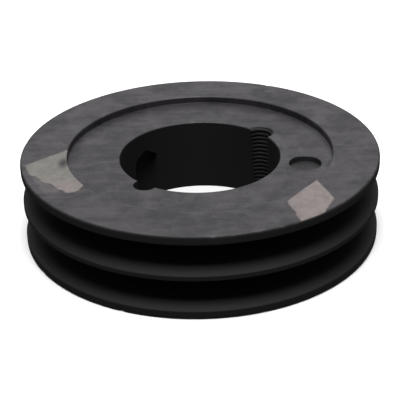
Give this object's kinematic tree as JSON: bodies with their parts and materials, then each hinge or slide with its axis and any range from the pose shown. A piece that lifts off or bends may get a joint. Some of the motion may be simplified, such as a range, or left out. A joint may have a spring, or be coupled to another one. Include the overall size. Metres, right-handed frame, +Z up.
{
  "type": "v belt pulley",
  "caption": "Double-groove V belt pulley body with a shallow face recess and a tapered bore for a clamping bush.",
  "frame": {"origin": "centre of the tapered bore at the bottom face, the face where the bush goes in", "axes": "+Z up along the bore axis, from the bore's large end to its small end; +X and +Y lie in the bottom face, and the balance hole is near +X"},
  "size_m": [0.1456, 0.1456, 0.035],
  "materials": {
    "iron": "turned grey iron, black phosphated and oiled, satin"
  },
  "bodies": {
    "root": {"pulley_body": "iron"}
  },
  "joints": []
}
